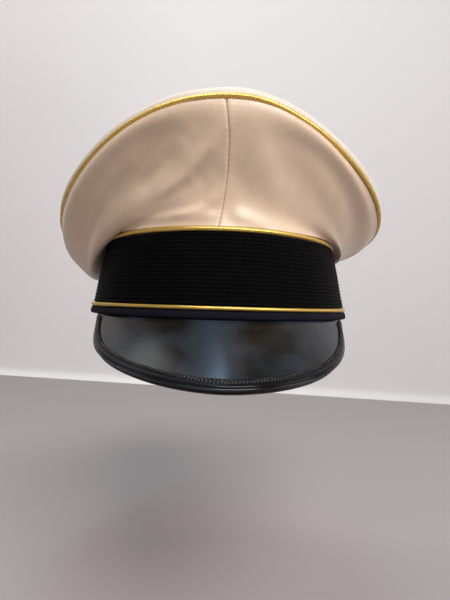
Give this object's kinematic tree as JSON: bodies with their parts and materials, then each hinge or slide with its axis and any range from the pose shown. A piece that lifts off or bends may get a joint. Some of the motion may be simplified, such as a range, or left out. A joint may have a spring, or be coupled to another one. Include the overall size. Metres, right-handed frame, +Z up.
{
  "type": "peaked cap",
  "caption": "Military peaked cap: saddle-shaped white cloth crown with gold piping, black ribbed braid band, navy welt and a glossy black bound visor over a leather sweatband.",
  "frame": {"origin": "middle of the head opening, in the plane of the band's lower edge", "axes": "+Z up through the crown, -Y forward over the visor, +X towards the wearer's left"},
  "size_m": [0.2306, 0.2827, 0.1472],
  "materials": {
    "crown_cloth": "cream white gabardine with a fine diagonal twill and a soft sheen",
    "gold_braid": "braided metallic thread over a cord",
    "mohair_braid": "black horizontally ribbed mohair braid",
    "navy_cloth": "dark navy wool twill",
    "buckram": "stiffened buckram board",
    "patent": "black patent, high gloss",
    "fibre": "pressed fibre",
    "visor_lining": "black grained leathercloth",
    "spring_steel": "bright drawn spring wire",
    "ferrule_brass": "drawn tube",
    "padding": "felt wadding",
    "satin": "ivory satin lining",
    "vinyl": "clear flexible vinyl",
    "leather": "tan calf leather, fine grain",
    "ribbon": "black cord ribbon"
  },
  "bodies": {
    "root": {"crown_top_panel": "crown_cloth", "quarter_front_left": "crown_cloth", "quarter_front_right": "crown_cloth", "quarter_rear_left": "crown_cloth", "quarter_rear_right": "crown_cloth", "rim_piping": "gold_braid", "rim_wire": "spring_steel", "wire_ferrule": "ferrule_brass", "rim_padding": "padding", "front_support": "fibre", "band_foundation": "buckram", "band_cloth": "navy_cloth", "band_braid": "mohair_braid", "braid_join": "mohair_braid", "band_top_piping": "gold_braid", "band_edge_piping": "gold_braid", "band_welt": "navy_cloth", "sweatband": "leather", "sweatband_reed": "leather", "sweatband_bow": "ribbon", "size_tab": "satin", "lining_side": "satin", "lining_top": "satin", "sweat_shield": "vinyl", "visor_patent": "patent", "visor_core": "fibre", "visor_underside": "visor_lining", "visor_binding": "patent"}
  },
  "joints": []
}
